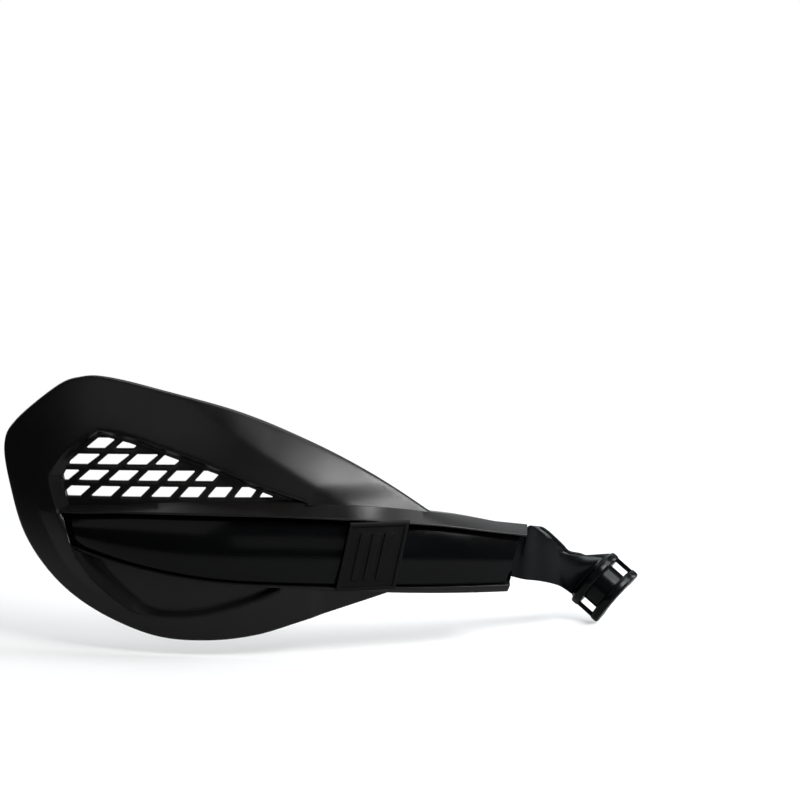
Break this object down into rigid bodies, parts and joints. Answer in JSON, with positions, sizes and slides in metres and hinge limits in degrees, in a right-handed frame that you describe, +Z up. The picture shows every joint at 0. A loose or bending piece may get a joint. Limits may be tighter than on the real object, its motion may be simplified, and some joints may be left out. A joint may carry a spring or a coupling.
{
  "type": "motorcycle hand guard",
  "caption": "Curved black hand guard with a recessed vent lattice, a crowned cover strip along its beam, and a bent arm ending in a strapped handlebar saddle.",
  "frame": {"origin": "centre of the saddle's bore, on the handlebar's axis", "axes": "+X along the guard towards the middle of the bike, +Z up, and the guard's outer face looks along -Y, to the front of the bike"},
  "size_m": [0.3579, 0.0867, 0.1471],
  "materials": {
    "shield_black": "fine satin moulded texture",
    "strip_black": "smooth gloss",
    "clip_black": "fine matte",
    "arm_black": "semi-gloss",
    "screw_steel": "zinc plated",
    "washer_steel": "zinc plated",
    "insert_brass": "turned"
  },
  "bodies": {
    "root": {"shield": "shield_black", "spine": "strip_black", "badge_clip": "clip_black", "mount_arm": "arm_black", "arm_screws": "screw_steel", "spine_screws": "screw_steel", "washers": "washer_steel", "thread_inserts": "insert_brass"}
  },
  "joints": []
}
